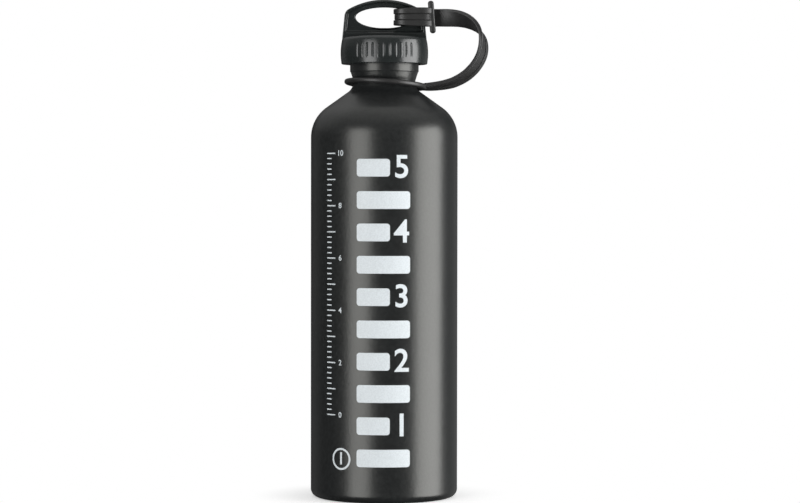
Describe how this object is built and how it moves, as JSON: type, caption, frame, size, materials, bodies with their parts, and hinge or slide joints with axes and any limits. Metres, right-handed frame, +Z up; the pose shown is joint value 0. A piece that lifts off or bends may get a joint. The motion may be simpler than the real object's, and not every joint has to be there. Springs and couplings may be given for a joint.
{
  "type": "camping fuel bottle",
  "caption": "Aluminium fuel bottle with a push-and-turn stopper cap, a carry handle and a moulded retaining strap.",
  "frame": {"origin": "middle of the annular foot, on the plane that the bottle stands on", "axes": "+Z up along the bottle's axis to the cap; +X towards the strap's loop; the handle's plate lies across Y"},
  "size_m": [0.0972, 0.08, 0.2709],
  "materials": {
    "powder_coat": "fine matte black powder coat on aluminium, bare metal inside",
    "stopper_plastic": "satin moulded plastic",
    "seal_rubber": "matte elastomer",
    "spring_steel": "bare spring steel",
    "cap_plastic": "semi-gloss moulded plastic",
    "strap_elastomer": "matte moulded elastomer with two grooves along one face"
  },
  "bodies": {
    "bottle": {"bottle": "powder_coat"},
    "strap": {"retaining_strap": "strap_elastomer"},
    "stopper": {"stopper": "stopper_plastic", "sealing_ring": "seal_rubber", "return_spring": "spring_steel"},
    "cap_shell": {"cap_shell": "cap_plastic"}
  },
  "joints": [
    {"name": "cap_turn", "type": "hinge", "parent": "bottle", "child": "strap", "pos_m": [0, 0, 0.24], "axis": [0, 0, 1], "range_deg": [0, 1260]},
    {"name": "cap_lift", "type": "slide", "parent": "strap", "child": "stopper", "axis": [0, 0, 1], "range_m": [0, 0.01225], "deforming": ["retaining_strap"]},
    {"name": "cap_press", "type": "slide", "parent": "stopper", "child": "cap_shell", "axis": [0, 0, -1], "range_m": [0, 0.0014], "stiffness_N_per_m": 3000, "springref_m": -0.0005, "deforming": ["return_spring"]}
  ],
  "couplings": [
    {"joint": "cap_lift", "follows": "cap_turn", "m_per_rad": 0.00055704}
  ]
}
